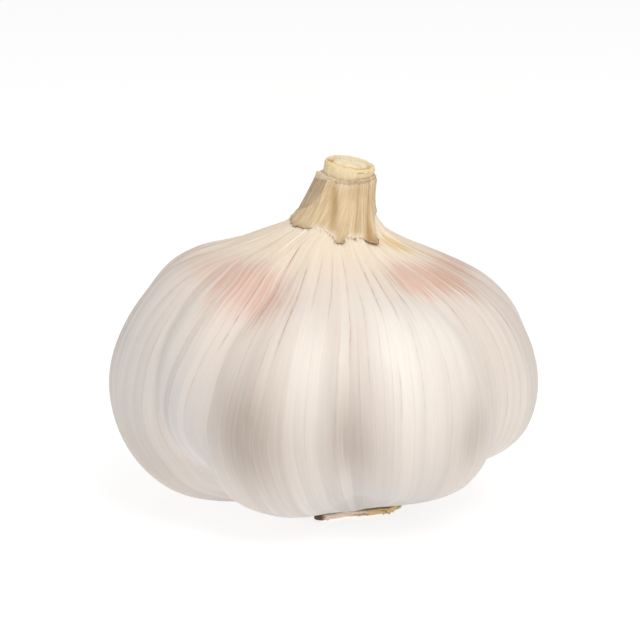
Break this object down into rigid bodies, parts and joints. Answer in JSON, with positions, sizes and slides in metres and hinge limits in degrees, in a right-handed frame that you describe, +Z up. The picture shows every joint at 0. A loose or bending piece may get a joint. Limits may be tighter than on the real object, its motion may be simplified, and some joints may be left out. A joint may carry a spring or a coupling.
{
  "type": "garlic bulb",
  "caption": "Whole head of garlic standing on its trimmed root plate, with lobed papery skin, a dry sheath round the neck and a short cut stem.",
  "frame": {"origin": "middle of the flat underside of the root plate, on the surface that the bulb stands on", "axes": "+Z up along the plant's axis, -Y to the front, +X to the right as seen from the front"},
  "size_m": [0.0587, 0.058, 0.0493],
  "materials": {
    "papery_skin": "thin dry plant skin, ivory with faint purplish-brown veins, satin",
    "dry_sheath": "dry fibrous leaf sheath, straw brown, matte",
    "cut_stalk": "cut and dried stem, pale straw, matte",
    "root_cork": "corky root plate with trimmed root stubs, brown, rough"
  },
  "bodies": {
    "root": {"bulb": "papery_skin", "neck_sheath": "dry_sheath", "stalk": "cut_stalk", "root_plate": "root_cork"}
  },
  "joints": []
}
